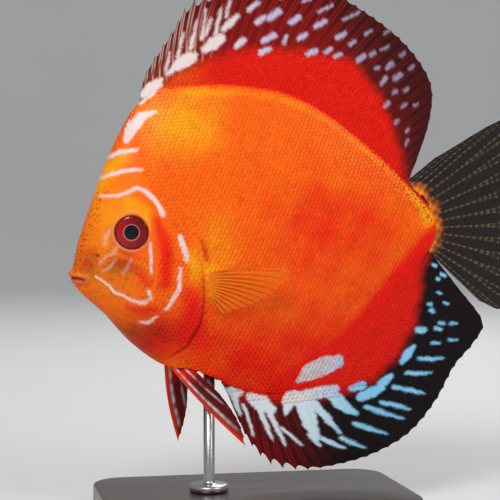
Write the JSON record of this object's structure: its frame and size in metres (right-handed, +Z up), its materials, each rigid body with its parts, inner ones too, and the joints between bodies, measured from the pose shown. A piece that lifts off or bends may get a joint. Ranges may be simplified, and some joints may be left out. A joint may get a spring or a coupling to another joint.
{
  "type": "discus fish model on a display stand",
  "caption": "Life-size still model of an adult discus fish with tall dorsal and anal fins, held nose-down over a flat base by a slim rod.",
  "frame": {"origin": "centre of the underside of the stand's base", "axes": "+Z up; the fish looks towards -X and shows its left side towards -Y, which is the model's thinnest direction"},
  "size_m": [0.1714, 0.07, 0.1888],
  "materials": {
    "fish_skin": "orange-red scaled skin with a wet gloss and pale markings, as painted on a cast model",
    "fin_membrane": "dark red rayed membrane, thin and slightly see-through",
    "clear_fin": "nearly clear amber membrane with fine rays",
    "eye_glass": "red iris and black pupil under a clear polished cornea",
    "stand_base": "dark stained wood with a satin lacquer",
    "stand_rod": "brushed steel rod"
  },
  "bodies": {
    "root": {"head": "fish_skin", "gill_cover_left": "fish_skin", "gill_cover_right": "fish_skin", "torso": "fish_skin", "tail_peduncle": "fish_skin", "eye_left": "eye_glass", "eye_right": "eye_glass", "dorsal_fin_spiny": "fin_membrane", "dorsal_fin_soft": "fin_membrane", "anal_fin_spiny": "fin_membrane", "anal_fin_soft": "fin_membrane", "caudal_fin": "clear_fin", "pectoral_fin_left": "clear_fin", "pectoral_fin_right": "clear_fin", "pelvic_fin_left": "fin_membrane", "pelvic_fin_right": "fin_membrane", "stand_base": "stand_base", "stand_rod": "stand_rod"}
  },
  "joints": []
}
